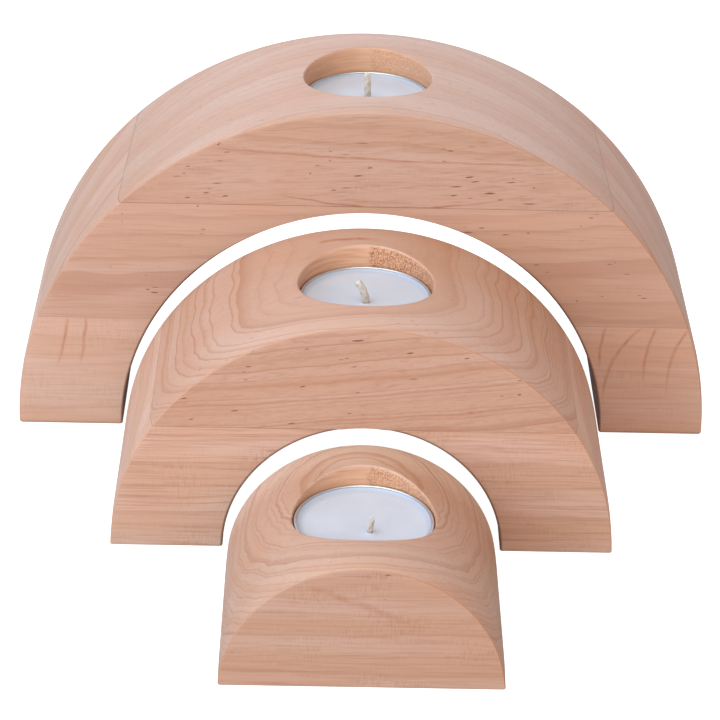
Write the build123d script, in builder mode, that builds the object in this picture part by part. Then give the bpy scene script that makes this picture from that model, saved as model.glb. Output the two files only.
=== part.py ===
from build123d import *
from math import radians
import os

os.makedirs("parts", exist_ok=True)

# Driving sizes of the wooden arches, in millimetres
small_outer_radius = 38.7       # the solid half round in front
arch_wall = 32.55               # wood between the inner and the outer curve of a hollow arch
nesting_clearance = 1.45        # air all round between two arches pushed into each other
arch_depth = 65.0               # every arch is equally deep from front to back
large_gap = 5.9                 # air between the large arch and the medium one, as set out on the table
medium_gap = 5.3                # air between the medium arch and the small one, as set out on the table
edge_break = 0.7                # the edges are sanded off by this much, but for the inner curves
mouth_break = 0.6               # and the mouth of a candle pocket by this much
foot_height = 37.5              # of the large arch's feet, up to the lower glue line
bridge_wood = 2.15              # wood of the large arch's middle board left above its inner crown, in front
bridge_rise = 2.1               # its upper glue line slopes up by this much towards the back
glue_drop = 0.45                # the medium arch's glue line lies this far under its inner crown

# Driving sizes of the tea lights, in millimetres
cup_rim_diameter = 38.5         # a standard tea light, over its rolled rim
cup_height = 16.0
cup_sheet = 0.3                 # drawn aluminium
rim_bead = 0.9                  # height of the rolled rim, which stands out by half as much
pocket_clearance = 0.25         # air round the cup's rim in its drilled pocket
large_light_drop = 7.8          # the cup's rim lies this far under the crown of its arch
medium_light_drop = 6.7
small_light_drop = 5.9
wax_drop = 1.2                  # the wax stands this far under the cup's rim
seat_clearance = 0.12           # air between pieces that are set into each other
wick_diameter = 2.1
wick_sides = 6                  # the braid is six-sided, and the holder's neck is crimped onto it
holder_diameter = 12.5          # stamped foot of the wick
holder_sheet = 0.3
holder_neck = 3.2               # height of the neck that grips the wick
large_wick_length = 8.5         # wick showing above the wax
medium_wick_length = 7.6
small_wick_length = 5.2
large_wick_lean = 4.0           # degrees from upright at the tip
medium_wick_lean = 45.0
small_wick_lean = 14.0
large_wick_heading = 180.0      # degrees about +Z from +X, the way the wick leans
medium_wick_heading = 170.0
small_wick_heading = 20.0
medium_wick_front = 2.7         # the medium and the small candle's wicks stand off the middle
small_wick_front = 4.8
small_wick_right = 1.7

# Radii of the nested curves
medium_inner_radius = small_outer_radius + nesting_clearance
medium_outer_radius = medium_inner_radius + arch_wall
large_inner_radius = medium_outer_radius + nesting_clearance
large_outer_radius = large_inner_radius + arch_wall

# Back faces of the arches, with the whole set centred on the origin
large_back = (3 * arch_depth + large_gap + medium_gap) / 2
medium_back = large_back - arch_depth - large_gap
small_back = medium_back - arch_depth - medium_gap

# Glue lines between the boards
large_upper_glue = Plane(
    origin=(0, large_back - arch_depth, large_inner_radius + bridge_wood),
    x_dir=(1, 0, 0),
    z_dir=(0, -bridge_rise, arch_depth),
)
large_lower_glue = Plane.XY.offset(foot_height)
medium_glue = Plane.XY.offset(medium_inner_radius - glue_drop)

# Sections of the tea light
pocket_radius = cup_rim_diameter / 2 + pocket_clearance
cup_radius = (cup_rim_diameter - rim_bead) / 2
wax_radius = cup_radius - cup_sheet - seat_clearance
wax_height = cup_height - wax_drop
wick_radius = wick_diameter / 2
wick_bore = wick_radius + seat_clearance
neck_radius = wick_bore + holder_sheet
upright = (Align.CENTER, Align.CENTER, Align.MIN)


def half_round(outer_radius, inner_radius, back, light_drop):
    """A half ring on the floor with its edges sanded off, and a candle pocket drilled down from its crown."""
    with BuildPart() as arch:
        with BuildSketch(Plane.XZ.offset(-back)):
            Circle(outer_radius)
            if inner_radius > 0:
                Circle(inner_radius, mode=Mode.SUBTRACT)
            Rectangle(2 * outer_radius, outer_radius, align=(Align.CENTER, Align.MAX), mode=Mode.SUBTRACT)
        extrude(amount=arch_depth)
        inner_curves = arch.edges().filter_by(GeomType.CIRCLE).filter_by(lambda arc: arc.radius < outer_radius)
        chamfer(arch.edges() - inner_curves, edge_break)
        with Locations((0, back - arch_depth / 2, outer_radius)):
            Hole(pocket_radius, light_drop + cup_height)
        chamfer(arch.edges(Select.LAST).filter_by(GeomType.BSPLINE), mouth_break)
    return arch.part


# Large arch: a crown board, a bridging board and two feet, glued up and then cut round as one
large_arch = half_round(large_outer_radius, large_inner_radius, large_back, large_light_drop)

with BuildPart() as large_arch_top_board:
    add(large_arch)
    split(bisect_by=large_upper_glue, keep=Keep.TOP)
large_arch_top_board.part.label = "large_arch_top_board"
export_step(large_arch_top_board.part, "parts/large_arch_top_board.step")

with BuildPart() as large_arch_middle_board:
    add(large_arch)
    split(bisect_by=large_upper_glue, keep=Keep.BOTTOM)
    split(bisect_by=large_lower_glue, keep=Keep.TOP)
large_arch_middle_board.part.label = "large_arch_middle_board"
export_step(large_arch_middle_board.part, "parts/large_arch_middle_board.step")

for side, half in (("left", Keep.BOTTOM), ("right", Keep.TOP)):
    with BuildPart() as large_arch_foot:
        add(large_arch)
        split(bisect_by=large_lower_glue, keep=Keep.BOTTOM)
        split(bisect_by=Plane.YZ, keep=half)
    large_arch_foot.part.label = f"large_arch_{side}_foot"
    export_step(large_arch_foot.part, f"parts/large_arch_{side}_foot.step")

# Medium arch: a crown board on two legs
medium_arch = half_round(medium_outer_radius, medium_inner_radius, medium_back, medium_light_drop)

with BuildPart() as medium_arch_top_board:
    add(medium_arch)
    split(bisect_by=medium_glue, keep=Keep.TOP)
medium_arch_top_board.part.label = "medium_arch_top_board"
export_step(medium_arch_top_board.part, "parts/medium_arch_top_board.step")

for side, half in (("left", Keep.BOTTOM), ("right", Keep.TOP)):
    with BuildPart() as medium_arch_leg:
        add(medium_arch)
        split(bisect_by=medium_glue, keep=Keep.BOTTOM)
        split(bisect_by=Plane.YZ, keep=half)
    medium_arch_leg.part.label = f"medium_arch_{side}_leg"
    export_step(medium_arch_leg.part, f"parts/medium_arch_{side}_leg.step")

# Small arch: a solid half round out of one board
with BuildPart() as small_arch_block:
    add(half_round(small_outer_radius, 0, small_back, small_light_drop))
small_arch_block.part.label = "small_arch_block"
export_step(small_arch_block.part, "parts/small_arch_block.step")

# Tea light cup: a drawn aluminium dish with a rolled rim
with BuildPart() as cup_form:
    with BuildSketch(Plane.XZ):
        with BuildLine():
            Polyline(
                (0, 0),
                (cup_radius, 0),
                (cup_radius, cup_height - rim_bead),
                (cup_rim_diameter / 2, cup_height - rim_bead / 2),
                (cup_radius, cup_height),
                (cup_radius - cup_sheet, cup_height),
                (cup_radius - cup_sheet, cup_sheet),
                (0, cup_sheet),
                close=True,
            )
        make_face()
    revolve(axis=Axis.Z)

# Candle wax: fills the cup up to just under the rim
with BuildPart() as wax_form:
    with Locations((0, 0, cup_sheet)):
        Cylinder(wax_radius, wax_height - cup_sheet, align=upright)

# Wick holder: a stamped disc on the cup's floor with a neck crimped onto the wick
with BuildPart() as holder_form:
    Cylinder(holder_diameter / 2, holder_sheet, align=upright)
    with BuildSketch():
        RegularPolygon(neck_radius, wick_sides)
    extrude(amount=holder_neck)
    with BuildSketch():
        RegularPolygon(wick_bore, wick_sides)
    extrude(amount=holder_neck, mode=Mode.SUBTRACT)

# Room in the wax for the holder and the wick
with BuildPart() as wax_core:
    Cylinder(holder_diameter / 2 + seat_clearance, holder_sheet, align=upright)
    with BuildSketch():
        RegularPolygon(neck_radius + seat_clearance, wick_sides)
    extrude(amount=holder_neck)
    with BuildSketch():
        RegularPolygon(wick_bore, wick_sides)
    extrude(amount=cup_height)

# The three tea lights, each on the floor of its pocket
for name, crown, back, light_drop, wick_right, wick_front, wick_length, wick_lean, wick_heading in (
    ("large", large_outer_radius, large_back, large_light_drop, 0, 0,
     large_wick_length, large_wick_lean, large_wick_heading),
    ("medium", medium_outer_radius, medium_back, medium_light_drop, 0, medium_wick_front,
     medium_wick_length, medium_wick_lean, medium_wick_heading),
    ("small", small_outer_radius, small_back, small_light_drop, small_wick_right, small_wick_front,
     small_wick_length, small_wick_lean, small_wick_heading),
):
    pocket_floor = Location((0, back - arch_depth / 2, crown - light_drop - cup_height))
    wick_foot = pocket_floor * Location((wick_right, -wick_front, cup_sheet), (0, 0, wick_heading))

    with BuildPart() as tealight_cup:
        with Locations(pocket_floor):
            add(cup_form.part)
    tealight_cup.part.label = f"{name}_tealight_cup"
    export_step(tealight_cup.part, f"parts/{name}_tealight_cup.step")

    with BuildPart() as tealight_wax:
        with Locations(pocket_floor):
            add(wax_form.part)
        with Locations(wick_foot):
            add(wax_core.part, mode=Mode.SUBTRACT)
    tealight_wax.part.label = f"{name}_tealight_wax"
    export_step(tealight_wax.part, f"parts/{name}_tealight_wax.step")

    with BuildPart() as tealight_wick_holder:
        with Locations(wick_foot):
            add(holder_form.part)
    tealight_wick_holder.part.label = f"{name}_tealight_wick_holder"
    export_step(tealight_wick_holder.part, f"parts/{name}_tealight_wick_holder.step")

    wick_base = Plane(wick_foot)
    with BuildPart() as tealight_wick:
        with BuildLine(Plane(wick_base.origin, wick_base.x_dir, -wick_base.y_dir)) as wick_path:
            stem = Line((0, 0), (0, wax_height - cup_sheet))
            JernArc(stem @ 1, (0, 1), wick_length / radians(wick_lean), -wick_lean)
        with BuildSketch(wick_base):
            RegularPolygon(wick_radius, wick_sides)
        sweep(path=wick_path.wires()[0])
    tealight_wick.part.label = f"{name}_tealight_wick"
    export_step(tealight_wick.part, f"parts/{name}_tealight_wick.step")
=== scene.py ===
import bmesh
import bpy
import numpy as np
from mathutils import Matrix, Vector


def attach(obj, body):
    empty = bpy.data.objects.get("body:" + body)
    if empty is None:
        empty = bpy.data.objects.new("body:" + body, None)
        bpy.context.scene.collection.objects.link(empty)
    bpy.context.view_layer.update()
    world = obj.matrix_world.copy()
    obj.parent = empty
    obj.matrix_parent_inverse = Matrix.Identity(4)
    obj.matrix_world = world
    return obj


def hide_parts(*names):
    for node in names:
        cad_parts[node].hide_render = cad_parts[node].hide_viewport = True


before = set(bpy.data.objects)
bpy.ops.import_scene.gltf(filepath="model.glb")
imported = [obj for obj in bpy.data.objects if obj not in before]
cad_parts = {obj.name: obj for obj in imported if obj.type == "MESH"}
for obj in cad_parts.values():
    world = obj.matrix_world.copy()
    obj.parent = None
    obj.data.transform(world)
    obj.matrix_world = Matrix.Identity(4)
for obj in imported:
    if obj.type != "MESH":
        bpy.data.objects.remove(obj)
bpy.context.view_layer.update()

# The large arch's feet: two short boards of pale hardwood, glued under the bridging board and sawn round
# with it. They stand on the table, their outside edges are sanded over, and reddish gum streaks run down
# their front faces. All sizes of the pieces are in millimetres.
arch_depth = 65.0
edge_round, inner_round = 0.4, 0.5  # radius of the broken edges, outside and at the inner curve
# The inner curve gets painted shade, which begins in a thin band this broad beside its edge
shade_line_breadth = 0.35                # breadth of the dark line beside the inner curve's edge
back_share = 0.5                    # the back edges are sanded down half as far as the front ones
large_outer, large_inner, large_middle = 106.7, 74.15, 70.6
large_front = large_middle - arch_depth / 2
large_edge = (5.0, 0.45)            # reach and drop of the sanded belly along the edges
large_base_round = 1.2
foot_height = 37.5


def arch_section(outer, inner, edge_reach):
    """
    The cut across an arch as one closed line of (radius, depth) points: half the barrel, a quarter circle
    round the edge, the flat back, a small quarter circle and half the inner curve, then the same mirrored to
    the front. The third array marks painted light and shade: up to 1 midway round the outer edge for a
    painted orange edge highlight, and -1 on the inner curve and its edge for painted shade. The fourth is how
    much of the edge's drop is sanded off: the square of the way along the sanded reach, and less of it at the
    back.
    """
    half = arch_depth / 2
    turn = np.linspace(0, np.pi / 2, 9)
    small_turn = np.linspace(0, np.pi / 2, 6)[1:]
    barrel = np.linspace(0, half - edge_round - edge_reach, 15)[:-1]
    belly = np.linspace(0, 1, 11)[:-1]
    face = np.linspace(outer - edge_round, inner + inner_round + shade_line_breadth, 14)[1:]
    hollow = np.linspace(half - inner_round, 0, 13)[1:]
    radius = np.concatenate([
        np.full(len(barrel) + len(belly), outer),
        outer - edge_round * (1 - np.cos(turn)),
        face,
        [inner + inner_round],
        inner + inner_round * (1 - np.sin(small_turn)),
        np.full(len(hollow), inner),
    ])
    depth = np.concatenate([
        barrel,
        half - edge_round - edge_reach * (1 - belly),
        half - edge_round * (1 - np.sin(turn)),
        np.full(len(face) + 1, half),
        half - inner_round * (1 - np.cos(small_turn)),
        hollow,
    ])
    # Painted shade: -1 on the inner curve and its small round edge, where shade falls
    shaded_inside = -np.ones(1 + len(small_turn) + len(hollow))
    tooling = np.concatenate([
        np.zeros(len(barrel) + len(belly)), np.sin(2 * turn), np.zeros(len(face)), shaded_inside,
    ])
    sanded = np.concatenate([
        np.zeros(len(barrel)), belly ** 2, np.ones(len(turn)), np.linspace(1, 0, len(face) + 1)[1:], 0 * shaded_inside,
    ])
    mirrored = slice(-2, 0, -1)
    return (
        np.concatenate([radius, radius[mirrored]]),
        np.concatenate([depth, -depth[mirrored]]),
        np.concatenate([tooling, tooling[mirrored]]),
        np.concatenate([back_share * sanded, sanded[mirrored]]),
    )


def upright_board(outer, inner, middle, height, side, base_round, edge_reach, edge_drop, fade):
    """
    A foot or leg of an arch: the arch's section stands on level planes, so a section point of radius r lies
    at x = square root of (r squared - z squared). The rows close the base, round its edge by a quarter
    circle, climb to the glue line and close it. The edges' drop grows with the height over the outer radius,
    to the power of fade.
    """
    radius, depth, tooling, sanded = arch_section(outer, inner, edge_reach)
    turn = np.linspace(0, np.pi / 2, 7)
    climb = inner * np.sin(np.linspace(np.arcsin(base_round / inner), np.arcsin(height / inner), 40))[1:]
    close, level = np.array([0.0, 0.5]), np.zeros(2)
    z = np.concatenate([level, base_round * (1 - np.cos(turn)), climb, level + height])[:, None]
    inset = np.concatenate([level + base_round, base_round * (1 - np.sin(turn)), 0 * climb, level])[:, None]
    spread = np.concatenate([close, np.ones(len(turn) + len(climb)), close[::-1]])[:, None]
    centre, half_wall = (outer + inner) / 2, (outer - inner) / 2
    radius = radius - edge_drop * sanded * (z / outer) ** fade
    r = centre + (radius - centre) * spread * (1 - inset / half_wall)
    y = depth * spread * (1 - inset / (arch_depth / 2))
    x = np.sqrt(r * r - z * z)
    return np.stack([side * x, middle + y, z + 0 * x], -1), tooling + 0 * x


def make_piece(name, grid, material, body, slot, stands_for, **marks):
    """
    Joins a grid of points (rows, columns that close on themselves, x y z in millimetres) by four-sided faces
    into a mesh in metres, welds what coincides at poles and corners, and turns the faces outwards. Each mark
    is an array of one value a point, which the material reads by its name; the mark face, made here, is how
    squarely a point looks to the front or the back.
    """
    weld, sliver, crease = 2e-6, 1e-6, np.radians(32)
    rows, columns = grid.shape[:2]
    near = np.arange(rows * columns).reshape(rows, columns)
    far = np.roll(near, -1, axis=1)
    faces = np.stack([near[:-1], far[:-1], far[1:], near[1:]], -1).reshape(-1, 4)
    mesh = bpy.data.meshes.new(name)
    mesh.from_pydata((grid.reshape(-1, 3) / 1000).tolist(), [], faces.tolist())
    for label, values in marks.items():
        values = np.broadcast_to(values, (rows, columns)).ravel().astype(np.float32)
        mesh.attributes.new(label, "FLOAT", "POINT").data.foreach_set("value", values)
    welded = bmesh.new()
    welded.from_mesh(mesh)
    bmesh.ops.remove_doubles(welded, verts=welded.verts, dist=weld)
    bmesh.ops.dissolve_degenerate(welded, edges=welded.edges, dist=sliver)
    bmesh.ops.recalc_face_normals(welded, faces=welded.faces)
    welded.to_mesh(mesh)
    welded.free()
    mesh.polygons.foreach_set("use_smooth", np.ones(len(mesh.polygons), bool))
    mesh.set_sharp_from_angle(angle=crease)
    normals = np.empty(3 * len(mesh.vertices), np.float32)
    mesh.vertex_normals.foreach_get("vector", normals)
    mesh.attributes.new("face", "FLOAT", "POINT").data.foreach_set("value", np.abs(normals[1::3]))
    mesh.materials.append(material)
    piece = bpy.data.objects.new(name, mesh)
    bpy.context.collection.objects.link(piece)
    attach(piece, body)
    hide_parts(stands_for)


def node(tree, kind, links, **settings):
    """One shader node. Each of its inputs that links names is linked to a socket, or else set to a value."""
    made = tree.nodes.new(kind)
    for key, value in settings.items():
        setattr(made, key, value)
    for key, value in links.items():
        if isinstance(value, bpy.types.NodeSocket):
            tree.links.new(value, made.inputs[key])
        else:
            made.inputs[key].default_value = value
    return made


def calc(tree, operation, *terms):
    """Result of one sum on single values, such as ADD, MULTIPLY or FRACT."""
    return node(tree, "ShaderNodeMath", dict(enumerate(terms)), operation=operation).outputs[0]


def vector(tree, operation, *terms, out=0):
    """Result of one sum on vectors, such as SUBTRACT, or with out=1 a single value, such as LENGTH."""
    return node(tree, "ShaderNodeVectorMath", dict(enumerate(terms)), operation=operation).outputs[out]


def join(tree, x, y, z):
    """Vector of three single values."""
    return node(tree, "ShaderNodeCombineXYZ", {0: x, 1: y, 2: z}).outputs[0]


def axes(tree, place):
    """The three single values of a vector."""
    return node(tree, "ShaderNodeSeparateXYZ", {0: place}).outputs


def rise(tree, value, low, high):
    """0 below low, 1 above high, and a smooth step between them."""
    links = {"Value": value, "From Min": low, "From Max": high}
    return node(tree, "ShaderNodeMapRange", links, interpolation_type="SMOOTHSTEP").outputs[0]


def fall(tree, value, low, high):
    """1 below low, 0 above high, and a smooth step between them."""
    return calc(tree, "SUBTRACT", 1.0, rise(tree, value, low, high))


def tint(tree, share, first, second):
    """First colour turned towards the second by a share from 0 to 1."""
    links = {0: share, 6: first, 7: second}
    return node(tree, "ShaderNodeMix", links, data_type="RGBA").outputs[2]


def noise(tree, place, scale, detail=1.0, rough=0.5):
    """Cloudy noise that swings round 0 by up to 0.5; scale is the lumps per millimetre along x, y and z."""
    place = vector(tree, "MULTIPLY", place, scale)
    links = {"Vector": place, "Scale": 1.0, "Detail": detail, "Roughness": rough}
    return calc(tree, "SUBTRACT", node(tree, "ShaderNodeTexNoise", links).outputs["Fac"], 0.5)


def noise_along(tree, value):
    """Noise from 0 to 1 along one value."""
    links = {"W": value, "Scale": 1.0, "Detail": 1.0}
    return node(tree, "ShaderNodeTexNoise", links, noise_dimensions="1D").outputs["Fac"]


def mark(tree, name):
    """The value that make_piece has put on each point of a mesh under this name."""
    return node(tree, "ShaderNodeAttribute", {}, attribute_name=name).outputs["Fac"]


def effect(name, inputs, outputs):
    """An empty node group with these inputs and outputs: its tree, the sockets to read and those to fill."""
    tree = bpy.data.node_groups.new(name, "ShaderNodeTree")
    for label, value in inputs.items():
        kind = "NodeSocketVector" if isinstance(value, tuple) else "NodeSocketFloat"
        tree.interface.new_socket(label, in_out="INPUT", socket_type=kind).default_value = value
    for label in outputs:
        tree.interface.new_socket(label, in_out="OUTPUT", socket_type="NodeSocketFloat")
    return tree, tree.nodes.new("NodeGroupInput").outputs, tree.nodes.new("NodeGroupOutput").inputs


# Growth rings round a pith that runs along x, drawn out behind it by up to Flat: the distance from the pith,
# plus a lean along the board and waves, is counted in ring widths that differ a little. Line is the dark late
# wood that ends each ring, stronger in some rings than in others and fading in round Start, and Tone the slow
# change of colour over several rings.
growth_rings, given, out = effect(
    "growth_rings",
    {"Place": (0.0, 0.0, 0.0), "Pith": (0.0, 0.0, 0.0), "Width": 3.0, "Lean": 0.0, "Wave": 4.0,
     "Ripple": 0.9, "Start": 0.0, "Flat": 0.0, "Seed": 0.0},
    ["Line", "Tone"],
)
tree = growth_rings
unevenness = 2.2
late_begins, late_peak, late_sharpness = 0.4, 0.94, 1.9
weakest_ring = 0.4
moved = vector(tree, "ADD", given["Place"], join(tree, given["Seed"], 0.0, 0.0))
wave = calc(tree, "MULTIPLY", noise(tree, moved, (1 / 48, 1 / 20, 1 / 20)), given["Wave"])
wave = calc(tree, "MULTIPLY_ADD", noise(tree, moved, (1 / 15, 1 / 5, 1 / 5)), given["Ripple"], wave)
across = axes(tree, vector(tree, "SUBTRACT", given["Place"], given["Pith"]))
drawn_out = calc(tree, "MINIMUM", calc(tree, "MAXIMUM", across[1], 0.0), given["Flat"])
across = join(tree, 0.0, calc(tree, "SUBTRACT", across[1], drawn_out), across[2])
from_pith = vector(tree, "LENGTH", across, out=1)
reach = calc(tree, "MULTIPLY_ADD", axes(tree, given["Place"])[0], given["Lean"], from_pith)
count = calc(tree, "DIVIDE", calc(tree, "ADD", reach, wave), given["Width"])
uneven = noise_along(tree, calc(tree, "MULTIPLY", count, 0.6))
count = calc(tree, "MULTIPLY_ADD", uneven, unevenness, count)
part = calc(tree, "FRACT", count)
late = calc(tree, "MULTIPLY", rise(tree, part, late_begins, late_peak), fall(tree, part, late_peak, 1.0))
late = calc(tree, "POWER", late, late_sharpness)
ring = calc(tree, "ADD", calc(tree, "FLOOR", count), given["Seed"])
strength = node(tree, "ShaderNodeTexWhiteNoise", {"W": ring}, noise_dimensions="1D").outputs["Value"]
strength = calc(tree, "MULTIPLY_ADD", strength, 1 - weakest_ring, weakest_ring)
beyond = calc(tree, "SUBTRACT", from_pith, given["Start"])
strength = calc(tree, "MULTIPLY", strength, rise(tree, beyond, -6.0, 16.0))
tree.links.new(calc(tree, "MULTIPLY", late, strength), out["Line"])
tree.links.new(noise_along(tree, calc(tree, "MULTIPLY", count, 0.37)), out["Tone"])

# Short dark gum flecks along the grain: a long thin ellipsoid in each of many boxes, with a random place,
# length and thickness, and left out of some of the boxes.
gum_flecks, given, out = effect(
    "gum_flecks",
    {"Place": (0.0, 0.0, 0.0), "Share": 0.3, "Length": 1.3, "Thickness": 0.16, "Lean": 0.0, "Seed": 0.0},
    ["Mask"],
)
tree = gum_flecks
fleck_box = (5.5, 2.0, 1.4)
sway = calc(tree, "MULTIPLY", noise(tree, given["Place"], (1 / 9, 1 / 9, 1 / 9)), 2.0)
sway = calc(tree, "MULTIPLY_ADD", axes(tree, given["Place"])[0], given["Lean"], sway)
moved = vector(tree, "DIVIDE", vector(tree, "ADD", given["Place"], join(tree, 0.0, sway, sway)), fleck_box)
moved = vector(tree, "ADD", moved, join(tree, given["Seed"], given["Seed"], 0.0))
boxes = node(tree, "ShaderNodeTexVoronoi", {"Vector": moved, "Scale": 1.0}).outputs
away = vector(tree, "MULTIPLY", vector(tree, "SUBTRACT", moved, boxes["Position"]), fleck_box)
chance = node(tree, "ShaderNodeSeparateColor", {0: boxes["Color"]}).outputs
length = calc(tree, "MULTIPLY", given["Length"], calc(tree, "MULTIPLY_ADD", chance[0], 1.2, 0.2))
thick = calc(tree, "MULTIPLY", given["Thickness"], calc(tree, "MULTIPLY_ADD", chance[2], 1.2, 0.6))
inside = vector(tree, "LENGTH", vector(tree, "DIVIDE", away, join(tree, length, thick, thick)), out=1)
kept = calc(tree, "LESS_THAN", chance[1], given["Share"])
tree.links.new(calc(tree, "MULTIPLY", fall(tree, inside, 0.4, 1.1), kept), out["Mask"])

# Fine grain, which swings round 0: Streak is long thin fibres along x, with darker lines of pores, and Ray is
# patches of rays across them that show as short upright ticks on a front face.
fine_grain, given, out = effect(
    "fine_grain", {"Place": (0.0, 0.0, 0.0), "Lean": 0.0, "Seed": 0.0}, ["Streak", "Ray"]
)
tree = fine_grain
lift = calc(tree, "MULTIPLY", axes(tree, given["Place"])[0], given["Lean"])
moved = vector(tree, "ADD", given["Place"], join(tree, given["Seed"], lift, lift))
coarse = noise(tree, moved, (0.03, 0.7, 0.7))
fine = calc(tree, "MULTIPLY_ADD", coarse, 0.35, noise(tree, moved, (0.055, 2.3, 2.3), 3.0, 0.65))
pore_line = fall(tree, calc(tree, "ABSOLUTE", noise(tree, moved, (0.014, 0.55, 0.55))), 0.0, 0.05)
full = rise(tree, noise(tree, moved, (1 / 30, 1 / 4, 1 / 4)), -0.25, 0.2)
pores = calc(tree, "MULTIPLY", pore_line, full)
tree.links.new(calc(tree, "MULTIPLY_ADD", pores, 0.15, fine), out["Streak"])
patchy = rise(tree, noise(tree, moved, (1 / 14, 1 / 14, 1 / 9)), -0.2, 0.3)
ticks = noise(tree, moved, (2.1, 0.3, 0.36), 2.0, 0.6)
tree.links.new(calc(tree, "MULTIPLY", ticks, patchy), out["Ray"])

# A gum streak: a thin reddish line on a face from one point to another, bowed sideways by Bend, wandering a
# little, and gone a few millimetres under the face.
gum_streak, given, out = effect(
    "gum_streak",
    {"Place": (0.0, 0.0, 0.0), "Start": (0.0, 0.0, 0.0), "End": (0.0, 0.0, 1.0), "Inwards": (0.0, 1.0, 0.0),
     "Bend": 0.0, "Width": 0.5},
    ["Mask"],
)
tree = gum_streak
away = vector(tree, "SUBTRACT", given["Place"], given["Start"])
course = vector(tree, "SUBTRACT", given["End"], given["Start"])
heading = vector(tree, "NORMALIZE", course)
covered = vector(tree, "DOT_PRODUCT", away, heading, out=1)
step = calc(tree, "DIVIDE", covered, vector(tree, "LENGTH", course, out=1))
sideways = vector(tree, "CROSS_PRODUCT", heading, given["Inwards"])
aside = vector(tree, "DOT_PRODUCT", away, sideways, out=1)
aside = calc(tree, "ADD", aside, noise(tree, given["Place"], (1 / 5, 1 / 5, 1 / 5)))
bow = calc(tree, "MULTIPLY", step, calc(tree, "SUBTRACT", 1.0, step))
aside = calc(tree, "SUBTRACT", aside, calc(tree, "MULTIPLY", bow, given["Bend"]))
reach = calc(tree, "DIVIDE", calc(tree, "ABSOLUTE", aside), given["Width"])
ends = calc(tree, "MULTIPLY", rise(tree, step, 0.0, 0.1), fall(tree, step, 0.6, 1.0))
mask = calc(tree, "MULTIPLY", fall(tree, reach, 0.1, 1.0), ends)
deep = vector(tree, "DOT_PRODUCT", away, given["Inwards"], out=1)
mask = calc(tree, "MULTIPLY", mask, fall(tree, calc(tree, "ABSOLUTE", deep), 2.0, 7.0))
patchy = calc(tree, "MULTIPLY_ADD", noise(tree, given["Place"], (1 / 3, 1 / 3, 1 / 3)), 1.4, 0.75)
tree.links.new(calc(tree, "MULTIPLY", mask, patchy), out["Mask"])


def start_material(name):
    """A new material: its tree, its shader, and Object coordinates in millimetres."""
    material = bpy.data.materials.new(name)
    material.use_nodes = True
    tree = material.node_tree
    metres = node(tree, "ShaderNodeTexCoord", {}).outputs["Object"]
    return material, tree, tree.nodes["Principled BSDF"], vector(tree, "MULTIPLY", metres, (1000, 1000, 1000))


def placed(tree, effect_tree, place, **values):
    """Outputs of a node group placed in a material, with its other inputs set by name."""
    made = node(tree, "ShaderNodeGroup", {}, node_tree=effect_tree)
    tree.links.new(place, made.inputs["Place"])
    for label, value in values.items():
        made.inputs[label].default_value = value
    return made.outputs


def give_surface(tree, shader, colour, rough, relief, bump_strength, bump_depth):
    """Links a material's colour, roughness and relief to its shader; bump_depth is in metres."""
    tree.links.new(colour, shader.inputs["Base Color"])
    tree.links.new(rough, shader.inputs["Roughness"])
    bump = node(tree, "ShaderNodeBump", {"Height": relief, "Strength": bump_strength, "Distance": bump_depth})
    tree.links.new(bump.outputs[0], shader.inputs["Normal"])


def shade(colour, red, green, blue):
    """A colour with each of its parts multiplied, as four values."""
    return (colour[0] * red, colour[1] * green, colour[2] * blue, 1.0)


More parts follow.
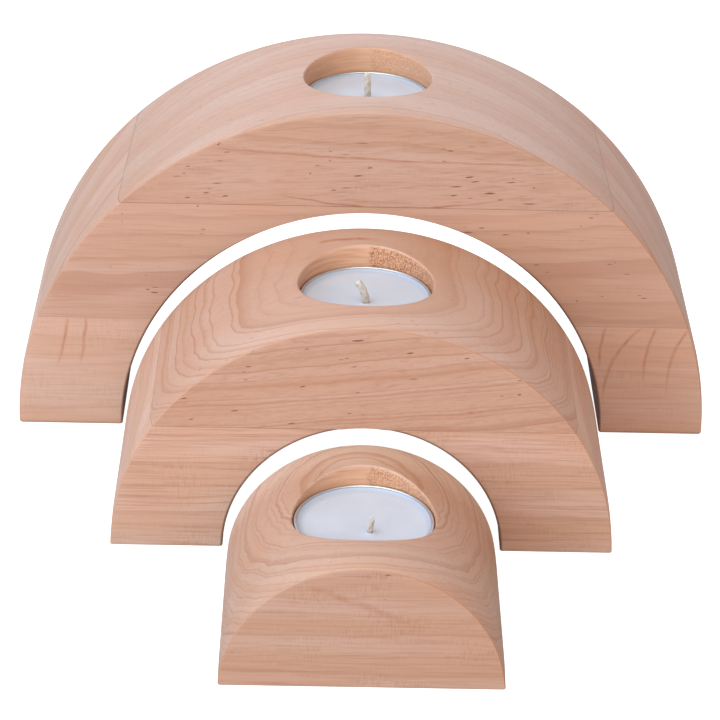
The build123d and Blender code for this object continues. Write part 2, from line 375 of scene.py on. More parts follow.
def wood_finish(
    name, pith, width, seed, pale=(0.48, 0.285, 0.213), lean=0.0, wave=4.0, ripple=0.9, start=0.0, flat=0.0,
    line=0.5, face_line=0.35, ray=0.4, grain_share=0.5, grain_lean=0.0, flecks=(0.3, 1.3, 0.16),
    painted_back_light=None, streaks=(), glue=(), pocket=None, torn=0.7,
):
    """
    Sanded bare hardwood of one board, a pale colour with darker figure. Pith, width, lean, wave, ripple,
    start and flat shape the growth rings, which are as strong as line on the barrel and as face_line on the
    faces; ray, grain_share and grain_lean rule the fine grain. Flecks are (share, length, thickness), the
    back's painted paler tone, which is painted light, runs from the y where it begins to the y where it is
    full, streaks of gum are (start, end, bend, way into the wood, breadth, strength), glue lines are (height
    in front, front y, slope to the back, strength), pocket is the drilled bore's axis, and torn how roughly
    the drill has left it.
    """
    barrel_fibre, barrel_gum = 0.35, 0.4  # shares of the fibres and flecks that show on the barrel
    # strength of the painted shade on the inner curve
    inner_shade_strength = 0.88
    seam_half, seam_edge = 0.02, 0.17
    material, tree, shader, place = start_material(name)
    y, z = axes(tree, place)[1:3]
    face, tooling = mark(tree, "face"), mark(tree, "tooling")

    # Plain wood: its tone changes slowly from ring to ring and in clouds
    rings = placed(
        tree, growth_rings, place, Pith=pith, Width=width, Lean=lean, Wave=wave, Ripple=ripple, Start=start,
        Flat=flat, Seed=seed,
    )
    colour = tint(tree, rise(tree, rings["Tone"], 0.25, 0.75), (*pale, 1.0), shade(pale, 0.94, 0.85, 0.75))
    cloud = noise(tree, place, (1 / 40, 1 / 18, 1 / 18))
    colour = tint(tree, rise(tree, cloud, -0.1, 0.35), colour, shade(pale, 0.97, 0.83, 0.72))
    # Painted light: the wood turns paler towards the back from the given y, for light on the back of the
    # block
    if painted_back_light:
        wavy = calc(tree, "MULTIPLY_ADD", noise(tree, place, (1 / 25, 1 / 15, 1 / 15)), 8.0, y)
        colour = tint(tree, rise(tree, wavy, *painted_back_light), colour, shade(pale, 1.25, 1.4, 1.45))

    # Late wood, and then fibres and gum flecks, which both show less on the barrel than on the faces
    ring_share = calc(tree, "MULTIPLY_ADD", face, face_line - line, line)
    late_wood = calc(tree, "MULTIPLY", rings["Line"], ring_share)
    colour = tint(tree, late_wood, colour, shade(pale, 0.68, 0.45, 0.31))
    grain = placed(tree, fine_grain, place, Lean=grain_lean, Seed=seed)
    fibre = rise(tree, calc(tree, "MULTIPLY_ADD", grain["Ray"], ray, grain["Streak"]), -0.1, 0.4)
    fibre = calc(tree, "MULTIPLY", fibre, calc(tree, "MULTIPLY_ADD", face, 1 - barrel_fibre, barrel_fibre))
    colour = tint(tree, calc(tree, "MULTIPLY", fibre, grain_share), colour, shade(pale, 0.68, 0.53, 0.42))
    share, length, thickness = flecks
    gum = placed(
        tree, gum_flecks, place, Share=share, Length=length, Thickness=thickness, Lean=grain_lean, Seed=seed
    )["Mask"]
    gum = calc(tree, "MULTIPLY", gum, calc(tree, "MULTIPLY_ADD", face, 1 - barrel_gum, barrel_gum))
    colour = tint(tree, gum, colour, shade(pale, 0.34, 0.15, 0.09))

    # Painted light and shade: an orange tint on the round edges as a painted highlight, and painted shade
    # over the inner curve, beginning in a thin band beside its edge
    colour = tint(tree, calc(tree, "MAXIMUM", tooling, 0.0), colour, shade(pale, 0.84, 0.64, 0.47))
    inner_shade = calc(tree, "MULTIPLY", calc(tree, "MINIMUM", tooling, 0.0), -inner_shade_strength)
    colour = tint(tree, inner_shade, colour, shade(pale, 0.4, 0.28, 0.22))

    for first, last, bend, inwards, breadth, strength in streaks:
        streak = placed(
            tree, gum_streak, place, Start=first, End=last, Bend=bend, Inwards=inwards, Width=breadth
        )["Mask"]
        colour = tint(tree, calc(tree, "MULTIPLY", streak, strength), colour, shade(pale, 0.72, 0.42, 0.28))
    for level, front, slope, strength in glue:
        height = calc(tree, "MULTIPLY_ADD", calc(tree, "SUBTRACT", y, front), slope, level)
        seam = fall(tree, calc(tree, "ABSOLUTE", calc(tree, "SUBTRACT", z, height)), seam_half, seam_edge)
        colour = tint(tree, calc(tree, "MULTIPLY", seam, strength), colour, shade(pale, 0.3, 0.2, 0.16))

    relief = calc(tree, "MULTIPLY_ADD", rings["Line"], 0.4, grain["Streak"])
    rough = calc(tree, "MULTIPLY_ADD", grain["Streak"], 0.25, 0.46)
    if pocket:
        # The bore is cut smooth, and torn into pits by the share that drilled_wall gives.
        # The smooth colour is partly its own, partly painted light: paler for the light in the pocket.
        bore = placed(tree, drilled_wall, place, Axis=pocket)
        turned = rise(tree, noise(tree, place, (0.1, 0.1, 1.3), 2.0), -0.2, 0.4)
        smooth = tint(tree, turned, shade(pale, 1.2, 1.12, 0.94), shade(pale, 0.92, 0.75, 0.57))
        grit = noise(tree, place, (2.8, 2.8, 2.2), 2.0, 0.6)
        pits = rise(tree, grit, -0.14, 0.12)
        pits = tint(tree, pits, shade(pale, 0.5, 0.31, 0.18), shade(pale, 1.24, 1.04, 0.75))
        torn_share = calc(tree, "MULTIPLY", calc(tree, "MULTIPLY", bore["Torn"], bore["Wall"]), torn)
        colour = tint(tree, torn_share, tint(tree, bore["Wall"], colour, smooth), pits)
        relief = calc(tree, "MULTIPLY_ADD", calc(tree, "MULTIPLY", grit, torn_share), 6.0, relief)
        rough = calc(tree, "MULTIPLY_ADD", bore["Wall"], 0.25, rough)
    shader.inputs["Specular IOR Level"].default_value = 0.75
    give_surface(tree, shader, colour, rough, relief, bump_strength=0.15, bump_depth=0.0002)
    return material


back = (0, 1, 0)
streak_top = foot_height + 0.5
streak_breadth, streak_strength = 0.75, 0.8
foot_streaks = {  # x at the top, x and z at the lower end, and bend of each streak
    "left": [(-90.5, -94.5, 19.0, 3.0), (-84.7, -87.3, 19.5, 2.0)],
    "right": [
        (74.5, 73.5, 21.5, -4.0), (86.2, 75.5, 8.0, -18.0),
        (90.0, 87.2, 16.5, -6.0), (100.4, 95.0, 11.5, -12.0),
    ],
}
for side, sign in (("left", -1), ("right", 1)):
    grid, tooling = upright_board(
        large_outer, large_inner, large_middle, foot_height, sign, large_base_round, *large_edge, fade=0.0
    )
    streaks = [
        ((top_x, large_front, streak_top), (end_x, large_front, end_z), bend, back,
         streak_breadth, streak_strength)
        for top_x, end_x, end_z, bend in foot_streaks[side]
    ]
    foot_wood = wood_finish(
        f"large_{side}_foot_wood", (0, 200, -70), 4.2, 3.7 * sign, pale=(0.55, 0.33, 0.25),
        line=0.4, face_line=0.25, ray=0.8, flecks=(0.1, 1.3, 0.16),
        streaks=streaks, glue=[(foot_height, large_front, 0.0, 0.35)],
    )
    make_piece(
        f"large_{side}_foot_wood", grid, foot_wood, "large_arch", "large_wood", f"large_arch_{side}_foot",
        tooling=tooling,
    )

# The large arch's bridging board: spans from foot to foot over the opening and carries the crown board.
# It is glued above and below, and only a thin bridge of it is left over the opening. Its upper glue line
# slopes up a little towards the back.
upper_glue = 76.3
glue_slope = 2.1 / arch_depth
glue_film = 0.01  # a point nearer to a glue face than this lies on it


def bridge_board(outer, inner, middle, low, high, slope, edge_reach, edge_drop):
    """
    The arch's section swept from one lower glue face over the opening to the other. A section point of
    radius r starts at the angle whose sine is low / r, so both ends lie level. The upper glue plane caps its
    radius at the plane's height there / sine of the angle, and half of the rows lie under that plane.
    """
    radius, depth, tooling, sanded = arch_section(outer, inner, edge_reach)
    radius = radius - edge_drop * sanded
    ceiling_z = high + slope * (depth + arch_depth / 2)
    face_top = outer - edge_drop * np.where(depth > 0, back_share, 1.0) - edge_round
    reach = np.maximum(radius, face_top)
    corner = (np.pi / 2 - np.arcsin(ceiling_z / reach)) / (np.pi / 2 - np.arcsin(low / reach))
    row = np.linspace(-1, 1, 121)[:, None]
    beyond = corner + (np.abs(row) - 0.5) * 2 * (1 - corner)
    along = np.where(np.abs(row) <= 0.5, row * 2 * corner, np.sign(row) * beyond)
    end = np.ones((2, len(radius)))
    along = np.concatenate([-end, along, end])
    spread = np.concatenate([(0.0, 0.5), np.ones(len(row)), (0.5, 0.0)])[:, None]
    centre = (outer + inner) / 2
    nominal = centre + (radius - centre) * spread
    angle = np.pi / 2 - along * (np.pi / 2 - np.arcsin(low / nominal))
    ceiling = ceiling_z / np.sin(angle)
    on_face = inner + (nominal - inner) * np.minimum(1, (ceiling - inner) / (face_top - inner))
    r = np.where(nominal <= face_top, on_face, np.minimum(nominal, ceiling))
    grid = np.stack([r * np.cos(angle), middle + depth * spread, r * np.sin(angle)], -1)
    return grid, tooling * (r < ceiling - glue_film)


grid, tooling = bridge_board(
    large_outer, large_inner, large_middle, foot_height, upper_glue, glue_slope, *large_edge
)
bridge_wood = wood_finish(
    "large_bridge_wood", (0, 190, -20), 3.6, 11.3, lean=-0.02, line=0.45, face_line=0.4,
    glue=[(foot_height, large_front, 0.0, 0.35), (upper_glue, large_front, glue_slope, 0.7)],
)
make_piece(
    "large_bridge_wood", grid, bridge_wood, "large_arch", "large_wood", "large_arch_middle_board",
    tooling=tooling,
)

# The large arch's crown board: the top of the barrel, with a round pocket drilled down for a tea light.
# The pocket's mouth is eased by hand, and the board's underside is the upper glue face.
pocket_radius = 19.5
mouth_reach, large_mouth_drop = 0.6, 0.6
cup_height = 16.0
large_rim = 98.9

# The wall of a drilled pocket: Wall is 1 inside the bore, and Torn marks the two quarters of it where the
# drill cut against the fibres.
drilled_wall, given, out = effect(
    "drilled_wall", {"Place": (0.0, 0.0, 0.0), "Axis": (0.0, 0.0, 0.0)}, ["Wall", "Torn"]
)
tree = drilled_wall
away = vector(tree, "MULTIPLY", vector(tree, "SUBTRACT", given["Place"], given["Axis"]), (1, 1, 0))
from_axis = vector(tree, "LENGTH", away, out=1)
tree.links.new(fall(tree, from_axis, pocket_radius + 0.02, pocket_radius + 0.15), out["Wall"])
quarter = calc(tree, "MULTIPLY", axes(tree, away)[0], axes(tree, away)[1])
ragged = calc(tree, "MULTIPLY", noise(tree, given["Place"], (0.6, 0.6, 0.6), 2.0), 60.0)
tree.links.new(rise(tree, calc(tree, "ADD", quarter, ragged), 5.0, 40.0), out["Torn"])


def crown_board(
    outer, middle, rim, mouth_drop, edge_reach, edge_drop, fade, glue, slope=0.0, inner=0.0, base=0.0
):
    """
    One closed surface from the middle of the pocket's floor up its wall, over the eased mouth, out over the
    barrel, round the sanded edge, down the faces and back under the board. Columns run to points spaced round
    the unrolled barrel's outline; a barrel point at angle a and radius r lies at x = r sin a, z = r cos a.
    """
    half = arch_depth / 2
    flat = 1 - edge_round / half
    turn = np.linspace(0, np.pi / 2, 9)
    rounded = flat + (1 - flat) * np.sin(turn)
    ends = np.concatenate([-rounded[::-1], np.linspace(-flat, flat, 33)[1:-1], rounded])[:-1]
    fronts = np.linspace(-1, 1, 121)[:-1]
    across = np.concatenate([fronts, np.ones(len(ends)), -fronts, -np.ones(len(ends))])
    backwards = np.concatenate([-np.ones(len(fronts)), ends, np.ones(len(fronts)), -ends])

    def level(y):
        """Height of the glue plane or base at a depth."""
        return glue + slope * (y + half)

    def barrel(s):
        """
        Point of the barrel at a share s of the way from the crown to the outline: its radius falls by the
        square of the way along the sanded reach times cosine of the angle to the power of fade, and by a
        quarter circle at the edge. A few rounds settle the angle at which it meets the glue plane or base.
        """
        y = s * backwards * half
        over = np.clip((np.abs(y) - (half - edge_round)) / edge_round, 0, 1)
        drop = edge_drop * np.where(y > 0, back_share, 1.0)
        drop = drop * np.clip((np.abs(y) + edge_round + edge_reach - half) / edge_reach, 0, 1) ** 2
        edge = outer - edge_round * (1 - np.sqrt(1 - over ** 2))
        end = edge
        for settling in range(6):
            end = edge - drop * ((level(y) + base) / end) ** fade
        angle = s * across * np.arccos((level(y) + base) / end)
        r = edge - drop * np.cos(angle) ** fade
        return r * np.sin(angle), y + 0 * angle, r * np.cos(angle)

    # Halving finds the share at which each column leaves the pocket's mouth
    near, far = np.zeros(len(across)), np.ones(len(across))
    for halving in range(40):
        s = (near + far) / 2
        x, y, z = barrel(s)
        inside = np.hypot(x, y) < pocket_radius + mouth_reach
        near, far = np.where(inside, s, near), np.where(inside, far, s)
    x, y, z = barrel(near)
    turn_x, turn_y = x / np.hypot(x, y), y / np.hypot(x, y)

    # The pocket's floor and wall, and its mouth eased by a quarter ellipse
    pocket_floor = rim - cup_height
    share = np.linspace(0, 1, 5)[:, None]
    floor_x, floor_y = turn_x * pocket_radius * share, turn_y * pocket_radius * share
    ease = np.linspace(np.pi / 2, 0, 6)[:, None]
    mouth_r = pocket_radius + mouth_reach * (1 - np.sin(ease))
    mouth_x, mouth_y = turn_x * mouth_r, turn_y * mouth_r
    mouth_z = np.sqrt(outer ** 2 - mouth_x ** 2) - mouth_drop * (1 - np.cos(ease))
    share = np.linspace(0, 1, 32)[1:-1, None]
    wall_z = pocket_floor + (mouth_z[:1] - pocket_floor) * share
    wall_x, wall_y = turn_x * pocket_radius + 0 * wall_z, turn_y * pocket_radius + 0 * wall_z

    # The barrel, with its painted edge highlight marked up to 1 midway round its edge
    s = near + (flat - near) * np.linspace(0, 1, 42)[1:, None]
    s = np.concatenate([s, rounded[1:, None] + 0 * near])
    top_x, top_y, top_z = barrel(s)
    tooling = np.zeros(s.shape)
    at_edge = np.abs(top_y[-len(turn):]) > half - edge_round - 1e-6
    tooling[-len(turn):] = np.sin(2 * turn)[:, None] * at_edge

    def underside(x, y):
        """The glue plane or base, raised where the arch's opening cuts into it."""
        return np.maximum(level(y), np.sqrt(np.maximum(inner ** 2 - x ** 2, 0)))

    # The faces, the rounded base edge of the small block, and the underside
    share = np.linspace(0, 1, 18)[1:, None]
    low = underside(top_x[-1], top_y[-1]) + base
    side_z = top_z[-1] + (low - top_z[-1]) * share
    side_x, side_y = top_x[-1] + 0 * side_z, top_y[-1] + 0 * side_z
    rounding = base * (1 - np.cos(turn[1:, None]))
    base_x = top_x[-1] * (1 - rounding / np.abs(top_x).max())
    base_y = top_y[-1] * (1 - rounding / half)
    base_z = low - base * np.sin(turn[1:, None]) + 0 * base_x
    shrink = np.linspace(1, 0, 12)[1:, None]
    under_x, under_y = base_x[-1] * shrink, base_y[-1] * shrink
    under_z = underside(under_x, under_y)
    parts = [
        (floor_x, floor_y, pocket_floor + 0 * floor_x),
        (wall_x, wall_y, wall_z),
        (mouth_x, mouth_y, mouth_z),
        (top_x, top_y, top_z),
        (side_x, side_y, side_z),
        (base_x, base_y, base_z),
        (under_x, under_y, under_z),
    ]
    grid = np.concatenate([np.stack([x, middle + y, z], -1) for x, y, z in parts])
    before, after = len(floor_x) + len(wall_x) + len(mouth_x), len(side_x) + len(base_x)
    # Painted shade: -1 where the opening cuts into the underside, at the top of the inner curve
    shaded_inside = -1.0 * (under_z > level(under_y) + 2 * glue_film)
    tooling = np.concatenate([np.zeros((before, len(near))), tooling, np.zeros((after, len(near))), shaded_inside])
    return grid, tooling


grid, tooling = crown_board(
    large_outer, large_middle, large_rim, large_mouth_drop, *large_edge, fade=0.0,
    glue=upper_glue, slope=glue_slope,
)
crown_wood = wood_finish(
    "large_crown_wood", (0, 200, 20), 4.0, 5.1, pale=(0.455, 0.275, 0.205), lean=0.03,
    line=0.35, face_line=0.3, grain_share=0.75, grain_lean=-0.05, flecks=(0.6, 1.9, 0.2),
    streaks=[
        ((-49.6, large_front, 94.9), (66.0, large_front, 90.8), -5.0, back, 0.45, 0.8),
        ((-28.8, large_front, 80.4), (50.0, large_front, 81.5), -19.0, back, 0.5, 0.9),
    ],
    glue=[(upper_glue, large_front, glue_slope, 0.7)], pocket=(0, large_middle, 0), torn=0.4,
)
make_piece(
    "large_crown_wood", grid, crown_wood, "large_arch", "large_wood", "large_arch_top_board", tooling=tooling
)

# The medium arch's legs: two boards that stand side by side under the crown board's one glue line, which
# runs just below the top of the opening. Sawn round and sanded like the large arch.
medium_outer, medium_inner, medium_middle = 72.7, 40.15, -0.3
medium_front = medium_middle - arch_depth / 2
medium_edge = (8.0, 1.0, 0.7)  # reach and drop of the sanded belly, and its fading towards the table
medium_base_round = 0.7
medium_glue = 39.7
for side, sign in (("left", -1), ("right", 1)):
    grid, tooling = upright_board(
        medium_outer, medium_inner, medium_middle, medium_glue, sign, medium_base_round, *medium_edge
    )
    leg_wood = wood_finish(
        f"medium_{side}_leg_wood", (0, 10, -90), 3.0, 7.9 * sign, pale=(0.54, 0.338, 0.263),
        line=0.6, face_line=0.45, ray=0.9, grain_share=0.95, flecks=(0.15, 1.5, 0.16),
        glue=[(medium_glue, medium_front, 0.0, 0.5)],
    )
    make_piece(
        f"medium_{side}_leg_wood", grid, leg_wood, "medium_arch", "medium_wood", f"medium_arch_{side}_leg",
        tooling=tooling,
    )

# The medium arch's crown board: flat-sawn from near the heart of the tree, so its growth rings run in closed
# ovals round the candle pocket, and one gum streak lies behind it. Its underside is the glue face, with the
# top of the opening just cut into it.
medium_rim, medium_mouth_drop = 66.0, 0.9
down = (0, 0, -1)
grid, tooling = crown_board(
    medium_outer, medium_middle, medium_rim, medium_mouth_drop, *medium_edge,
    glue=medium_glue, inner=medium_inner,
)
crown_wood = wood_finish(
    "medium_crown_wood", (0, -8, 92), 2.2, 2.3, lean=0.09, start=21.0, flat=80.0,
    line=0.92, face_line=0.75, grain_share=0.6, grain_lean=-0.13, flecks=(0.25, 2.0, 0.2),
    streaks=[((-14.5, 23.0, 71.2), (6.5, 22.4, 72.4), 4.0, down, 1.2, 1.0)],
    glue=[(medium_glue, medium_front, 0.0, 0.5)], pocket=(0, medium_middle, 0), torn=1.0,
)
make_piece(
    "medium_crown_wood", grid, crown_wood, "medium_arch", "medium_wood", "medium_arch_top_board",
    tooling=tooling,
)

# The small arch: one solid block of the same wood, a plain half round with its pocket drilled from the crown.
# It isn't glued up, so its rings run through from face to face. Its back is painted paler, as painted light
# on the back part of the block. A broad gum streak slants across its front; its base edge is sanded round.
small_outer, small_middle = 38.7, -70.6
small_front = small_middle - arch_depth / 2
small_edge, small_base_round = (9.0, 1.5, 0.7), 0.7
small_rim, small_mouth_drop = 32.8, 1.0
grid, tooling = crown_board(
    small_outer, small_middle, small_rim, small_mouth_drop, *small_edge, glue=0.0, base=small_base_round
)
block_wood = wood_finish(
    "small_block_wood", (0, -60, 72), 1.9, 9.4, pale=(0.46, 0.275, 0.204), wave=6.0, ripple=1.6,
    line=0.75, ray=1.3, grain_share=0.75, flecks=(0.15, 1.3, 0.16), painted_back_light=(-54.0, -38.0),
    streaks=[((-15.5, small_front, 32.4), (18.0, small_front, 18.4), 0.0, back, 1.5, 0.45)],
    pocket=(0, small_middle, 0),
)
make_piece(
    "small_block_wood", grid, block_wood, "small_arch", "small_wood", "small_arch_block", tooling=tooling
)

# The tea lights' cups: drawn from thin aluminium sheet, with a base that is pressed in, a small round at the
# bottom corner and a rim rolled outwards. Each stands loose on the floor of its pocket.
cup_radius, cup_sheet, bead_radius = 18.8, 0.3, 0.45
pressed_in, pressed_radius = 0.25, 14.6
corner_round, inner_corner_round = 1.1, 0.85
wall_taper = 0.06
candle_columns = 160
bright_metal, dull_metal = (0.68, 0.69, 0.72, 1), (0.56, 0.57, 0.6, 1)
tealights = {  # y of the axis and height of the rim
    "large": (large_middle, large_rim),
    "medium": (medium_middle, medium_rim),
    "small": (small_middle, small_rim),
}


def turned_cup(profile, middle, floor):
    """A profile of (radius, height) points turned round a candle's axis, which stands at y = middle."""
    radius, height = profile[:, :1], profile[:, 1:]
    angle = np.linspace(0, 2 * np.pi, candle_columns, endpoint=False)
    return np.stack([radius * np.cos(angle), middle + radius * np.sin(angle), floor + height + 0 * angle], -1)


def arc(centre, radius, start, stop, count):
    """Points on a circle in the profile's plane, from one angle to another in degrees."""
    angle = np.radians(np.linspace(start, stop, count))
    return np.stack([centre[0] + radius * np.cos(angle), centre[1] + radius * np.sin(angle)], -1)


inner_radius, inner_floor = cup_radius - cup_sheet, 0.5
cup_profile = np.concatenate([
    [(0, pressed_in), (7, pressed_in), (pressed_radius, pressed_in), (15.0, 0.15), (15.4, 0.0), (16.5, 0.0)],
    arc((cup_radius - 1.2, corner_round), corner_round, -90, 0, 7),
    [(cup_radius - wall_taper, 5.0), (cup_radius - wall_taper / 2, 10.0)],
    [(cup_radius, cup_height - 2.5 * bead_radius)],
    arc((cup_radius, cup_height - bead_radius), bead_radius, -75, 150, 14),
    [(inner_radius, cup_height - 1.0), (inner_radius, 8.0), (inner_radius - 0.1, 1.4)],
    arc((cup_radius - 1.3, 1.3), inner_corner_round, 0, -90, 5),
    [(15.0, inner_floor), (7, inner_floor), (0, inner_floor)],
])
cup_metal, tree, shader, place = start_material("cup_aluminium")
drawn = noise(tree, place, (1.2, 1.2, 0.08), 2.0)
dull = noise(tree, place, (0.2, 0.2, 0.2), 2.0)
colour = tint(tree, rise(tree, dull, -0.3, 0.3), bright_metal, dull_metal)
rough = calc(tree, "MULTIPLY_ADD", calc(tree, "ADD", drawn, dull), 0.2, 0.38)
shader.inputs["Metallic"].default_value = 1.0
give_surface(tree, shader, colour, rough, drawn, bump_strength=0.2, bump_depth=0.0002)
for size, (middle, rim) in tealights.items():
    grid = turned_cup(cup_profile, middle, rim - cup_height)
    make_piece(f"{size}_cup", grid, cup_metal, f"{size}_tealight", "cup_aluminium", f"{size}_tealight_cup")

# The wick holders: small discs stamped from tinned steel, on the floor of each cup under the wax, with a neck
# crimped onto the wick. They keep the shape they already have and get their finish.
bright_tin, dull_tin = (0.72, 0.72, 0.71, 1), (0.56, 0.56, 0.57, 1)
tin, tree, shader, place = start_material("holder_tin")
spangle = noise(tree, place, (0.8, 0.8, 0.8), 2.0)
colour = tint(tree, rise(tree, spangle, -0.2, 0.2), bright_tin, dull_tin)
shader.inputs["Metallic"].default_value = 1.0
tree.links.new(colour, shader.inputs["Base Color"])
tree.links.new(calc(tree, "MULTIPLY_ADD", spangle, 0.3, 0.33), shader.inputs["Roughness"])
for size in tealights:
    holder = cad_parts[f"{size}_tealight_wick_holder"]
    holder.data.materials.clear()
    holder.data.materials.append(tin)

# The wax: bluish white paraffin poured into each cup round the wick. Its level top climbs a little way up the
# cup's wall and the wick, and its underside leaves room for the wick's holder.
wax_radius, wax_top, wax_floor = 18.38, 14.8, 0.55
wall_climb, wall_fade = 0.75, 0.55
wick_climb, wick_fade = 0.5, 0.7
sag_depth, swell_height = 0.12, 0.02
# Breadth of the painted shade and reflection band round the wax top's rim
meniscus_shade_breadth = 3.0
neck_room, neck_top = 1.62, 3.65
disc_room, disc_top = 6.4, 0.66
wick_places = {"large": (0.0, 0.0), "medium": (0.0, -2.7), "small": (1.7, -4.8)}
wick_radii = {"large": 1.1, "medium": 1.15, "small": 0.8}
wick_room = 0.03
clear_wax, milky_wax = (0.515, 0.53, 0.61, 1), (0.485, 0.5, 0.585, 1)
# The darker bluish wax is painted shade and reflection at the meniscus; dirt is the dark specks in the wax
meniscus_shade_wax, dirt = (0.29, 0.335, 0.43, 1), (0.03, 0.03, 0.04, 1)


def wax_body(middle, floor, wick_x, wick_y, wick_hole):
    """
    Rings round the wick that shift their centre to the cup's axis as they widen: down the wick's hole, over
    the holder's neck and disc, out to the cup's corner, up its wall, and back over the top. The top's height
    is the level, less a shallow sag, plus a climb at the wall and at the wick that fades by the exponential
    of the distance from them, and a slight swell. The second array marks the top's rim, up to 1 at the wall,
    for the painted bluish shade and reflection of the meniscus.
    """
    shoulder = wax_radius - 2.5
    reach = np.concatenate([
        np.linspace(wax_radius, shoulder, 14)[1:], np.linspace(shoulder, wick_hole, 40)[1:],
    ])
    climb = wall_climb * np.exp((reach - wax_radius) / wall_fade)
    climb = climb + wick_climb * np.exp((wick_hole - reach) / wick_fade)
    sag = -sag_depth * np.exp(-((reach - 5.0) / 3.0) ** 2)
    top = wax_top + climb + sag
    low = [
        (wick_hole, top[-1]), (wick_hole, 9.0), (wick_hole, neck_top), (neck_room, neck_top),
        (neck_room, disc_top), (disc_room, disc_top), (disc_room, wax_floor), (12.0, wax_floor),
        (wax_radius - 1.2, wax_floor), (wax_radius - 0.4, 0.9), (wax_radius, 1.7), (wax_radius, 8.0),
        (wax_radius, wax_top + wall_climb),
    ]
    profile = np.concatenate([low, np.stack([reach, top], -1)])
    radius, height = profile[:, :1], profile[:, 1:]
    angle = np.linspace(0, 2 * np.pi, candle_columns, endpoint=False)
    off = 1 - np.clip((radius - disc_room) / (wax_radius - disc_room), 0, 1)
    x, y = wick_x * off + radius * np.cos(angle), wick_y * off + radius * np.sin(angle)
    on_top = height > wax_top - 1
    swell = swell_height * np.sin(0.55 * x + 0.9) * np.cos(0.45 * y - 0.4) * on_top * (off < 1)
    meniscus_shade_mark = np.clip((radius - (wax_radius - meniscus_shade_breadth)) / meniscus_shade_breadth, 0, 1) * on_top
    return np.stack([x, middle + y, floor + height + swell], -1), meniscus_shade_mark + 0 * x


wax, tree, shader, place = start_material("candle_wax")
milk = noise(tree, place, (1 / 9, 1 / 9, 1 / 9), 2.0)
colour = tint(tree, rise(tree, milk, -0.25, 0.25), clear_wax, milky_wax)
# Painted shade and reflection: a darker bluish band round the top's rim, for the meniscus at the cup wall
edge = calc(tree, "MULTIPLY", rise(tree, mark(tree, "rim"), 0.3, 0.95), 0.6)
colour = tint(tree, edge, colour, meniscus_shade_wax)
speck = placed(tree, gum_flecks, place, Share=0.1, Length=0.2, Thickness=0.16, Seed=4.0)["Mask"]
colour = tint(tree, speck, colour, dirt)
rough = calc(tree, "MULTIPLY_ADD", milk, 0.2, 0.42)
ripples = noise(tree, place, (0.5, 0.5, 0.5), 3.0)
give_surface(tree, shader, colour, rough, ripples, bump_strength=0.08, bump_depth=0.0003)
for size, (middle, rim) in tealights.items():
    grid, meniscus_shade_mark = wax_body(middle, rim - cup_height, *wick_places[size], wick_radii[size] + wick_room)
    make_piece(
        f"{size}_wax", grid, wax, f"{size}_tealight", "candle_wax", f"{size}_tealight_wax", rim=meniscus_shade_mark
    )

# The wicks: cream cotton braids, gripped by their holders, that come up through the wax. The large candle's
# stands, the medium one's leans over to the left, and the small one's is short.
wick_bends = {  # length above the wax, lean at the tip and heading in degrees
    "large": (8.5, 4.0, 180.0),
    "medium": (7.6, 45.0, 170.0),
    "small": (5.2, 14.0, 20.0),
}
wick_lift = 0.05
strand_count, strand_turn = 3, 3.2      # strands wound each way, and the length of one turn
strand_depth, strand_swell = 0.14, 0.12
tip_round, frayed_length, fray = 0.7, 1.5, 0.1
braid_flatness = 0.85
braid_columns = 48
waxed_cotton, dry_cotton = (0.47, 0.425, 0.37, 1), (0.53, 0.465, 0.4, 1)
# The groove colour is painted shade between the braid's strands
tip_cotton, groove_shade_cotton = (0.49, 0.45, 0.41, 1), (0.36, 0.3, 0.25, 1)


def braid(middle, floor, wick_x, wick_y, length, lean, heading, wick_radius):
    """
    A round section, a little flattened, carried up a straight stem and on along an arc that leans over by an
    angle, in a vertical plane. The radius swells where one of two sets of strands, wound opposite ways, lies
    on top, and closes at both ends. The second array is the share of the way along the arc, and the third
    how far the strands stand out.
    """
    lean, heading = np.radians(lean), np.radians(heading)
    stem = np.linspace(cup_sheet + wick_lift, wax_top, 40)
    bend = np.linspace(0, 1, 90)[1:]
    arm = length / lean
    up = np.concatenate([stem, wax_top + arm * np.sin(bend * lean)])[:, None]
    out = np.concatenate([0 * stem, arm * (1 - np.cos(bend * lean))])[:, None]
    tilt = np.concatenate([0 * stem, bend * lean])[:, None]
    run = np.concatenate([stem - wax_top, bend * length])[:, None]
    angle = np.linspace(0, 2 * np.pi, braid_columns, endpoint=False)
    twist = 2 * np.pi * run / strand_turn
    strands = np.maximum(np.cos(strand_count * angle + twist), np.cos(strand_count * angle - twist))
    frayed = np.clip((run - length + frayed_length) / frayed_length, 0, 1)
    frayed = 1 + fray * np.sin(5 * angle + 1.0) * frayed
    tip = np.sqrt(1 - np.clip((run - length + tip_round) / tip_round, 0, 1) ** 2)
    tip[0] = 0
    radius = (wick_radius - strand_depth + strand_swell * strands) * frayed * tip
    flat_x, flat_y = radius * np.cos(angle), braid_flatness * radius * np.sin(angle)
    forward = out + flat_x * np.cos(tilt)
    x = wick_x + forward * np.cos(heading) - flat_y * np.sin(heading)
    y = middle + wick_y + forward * np.sin(heading) + flat_y * np.cos(heading)
    z = floor + up - flat_x * np.sin(tilt)
    return np.stack([x, y, z], -1), np.clip(run / length, 0, 1), strands


cotton, tree, shader, place = start_material("wick_cotton")
along = mark(tree, "along")
fluff = noise(tree, place, (4.0, 4.0, 4.0), 2.0)
colour = tint(tree, rise(tree, along, 0.0, 0.35), waxed_cotton, dry_cotton)
colour = tint(tree, rise(tree, along, 0.7, 1.0), colour, tip_cotton)
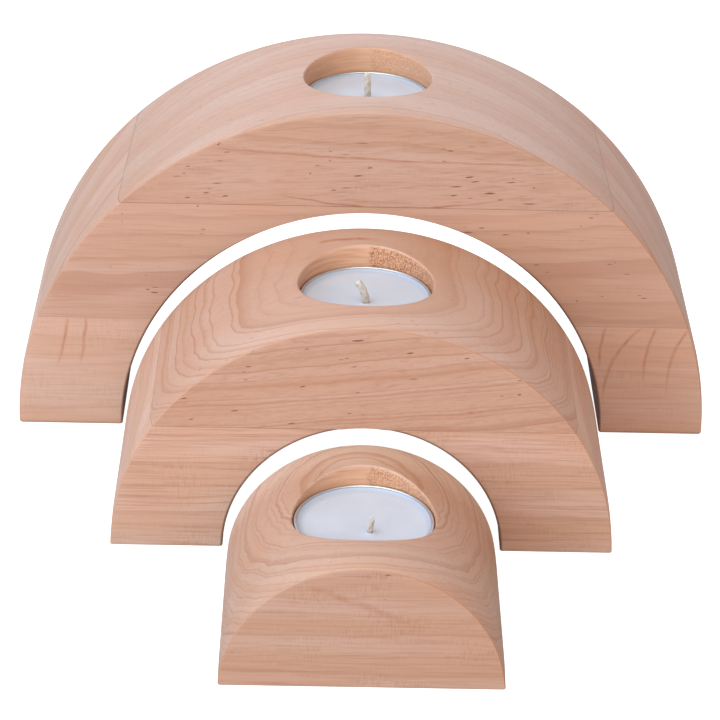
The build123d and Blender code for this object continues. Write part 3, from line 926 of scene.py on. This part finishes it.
# Painted shade: the cotton darkens in the grooves between the strands
groove_shade = fall(tree, calc(tree, "ADD", mark(tree, "strand"), fluff), 0.0, 0.8)
colour = tint(tree, calc(tree, "MULTIPLY", groove_shade, 0.25), colour, groove_shade_cotton)
rough = calc(tree, "MULTIPLY_ADD", fluff, 0.2, 0.85)
give_surface(tree, shader, colour, rough, fluff, bump_strength=0.4, bump_depth=0.0002)
for size, (middle, rim) in tealights.items():
    grid, along, strand = braid(
        middle, rim - cup_height, *wick_places[size], *wick_bends[size], wick_radii[size]
    )
    make_piece(
        f"{size}_wick", grid, cotton, f"{size}_tealight", "wick_cotton", f"{size}_tealight_wick",
        along=along, strand=strand,
    )

# The floor: plain white studio paper. It glows for the camera alone, so that it stays white between the
# arches without throwing more light onto them.
floor_mesh = bpy.data.meshes.new("floor")
floor_mesh.from_pydata([(-4, -4, 0), (4, -4, 0), (4, 4, 0), (-4, 4, 0)], [], [(0, 1, 2, 3)])
floor = bpy.data.objects.new("floor", floor_mesh)
bpy.context.collection.objects.link(floor)
paper, tree, shader = start_material("floor_paper")[:3]
shader.inputs["Base Color"].default_value = (0.4, 0.4, 0.4, 1)
shader.inputs["Roughness"].default_value = 0.9
shader.inputs["Emission Color"].default_value = (1, 1, 1, 1)
seen = node(tree, "ShaderNodeLightPath", {}).outputs["Is Camera Ray"]
tree.links.new(seen, shader.inputs["Emission Strength"])
floor_mesh.materials.append(paper)

# The light: a cool wall of light behind the object, which the tops of the arches mirror at a low angle, a
# large soft box in front on the left and a weaker warm one on the right, a small bluish window on the left,
# two weak boxes above and high in front, and a little light from all round. Its sizes are in metres.
scene = bpy.context.scene
scene.view_settings.view_transform = "Standard"
world = bpy.data.worlds.new("studio")
scene.world = world
world.use_nodes = True
world.node_tree.nodes["Background"].inputs["Color"].default_value = (1, 1, 1, 1)
world.node_tree.nodes["Background"].inputs["Strength"].default_value = 0.49
lit_point = (0, 0, 0.05)


def soft_box(name, place, width, height, power, colour):
    """A flat rectangle of light that faces the lit point."""
    lamp = bpy.data.lights.new(name, "AREA")
    lamp.shape = "RECTANGLE"
    lamp.size, lamp.size_y = width, height
    lamp.energy = power
    lamp.color = colour
    box = bpy.data.objects.new(name, lamp)
    bpy.context.collection.objects.link(box)
    box.location = place
    box.rotation_euler = (Vector(place) - Vector(lit_point)).to_track_quat("Z", "Y").to_euler()


soft_box("back_wall", (0, 1.5, 0.95), 3.0, 1.4, 18.5, (0.66, 0.79, 1.0))
soft_box("left_front", (-2.4, -3.2, 1.2), 2.4, 2.4, 121, (0.85, 0.98, 1.0))
soft_box("right_fill", (2.4, -3.0, 1.0), 2.4, 2.4, 50, (1.0, 0.7, 0.6))
soft_box("left_window", (-1.5, -0.5, 0.7), 1.0, 1.0, 14, (0.45, 0.62, 1.0))
soft_box("overhead", (-0.3, -0.3, 1.3), 1.2, 1.2, 10, (0.94, 1.0, 0.88))
soft_box("high_front", (0, -1.5, 1.9), 1.6, 1.6, 9, (1.0, 0.95, 0.82))

# The camera looks down on the set from in front, through a long lens. Its place is in metres and its angles
# are in radians, and its focal length is counted in pixels of a picture 720 pixels wide.
camera_place = (-0.01054, -0.72627, 0.43032)
yaw, pitch, roll = 0.0128, -0.4881, 0.0244
focal_pixels, image_pixels, sensor = 2811.31, 720, 36.0
forward = np.array([np.sin(yaw) * np.cos(pitch), np.cos(yaw) * np.cos(pitch), np.sin(pitch)])
rightward = np.array([np.cos(yaw), -np.sin(yaw), 0.0])
upward = np.cross(rightward, forward)
lens = bpy.data.cameras.new("camera")
lens.sensor_width = sensor
lens.lens = focal_pixels / image_pixels * sensor
camera = bpy.data.objects.new("camera", lens)
bpy.context.collection.objects.link(camera)
placing = np.eye(4)
placing[:3, 0] = np.cos(roll) * rightward + np.sin(roll) * upward
placing[:3, 1] = np.cos(roll) * upward - np.sin(roll) * rightward
placing[:3, 2] = -forward
placing[:3, 3] = camera_place
camera.matrix_world = Matrix(placing.tolist())
scene.camera = camera
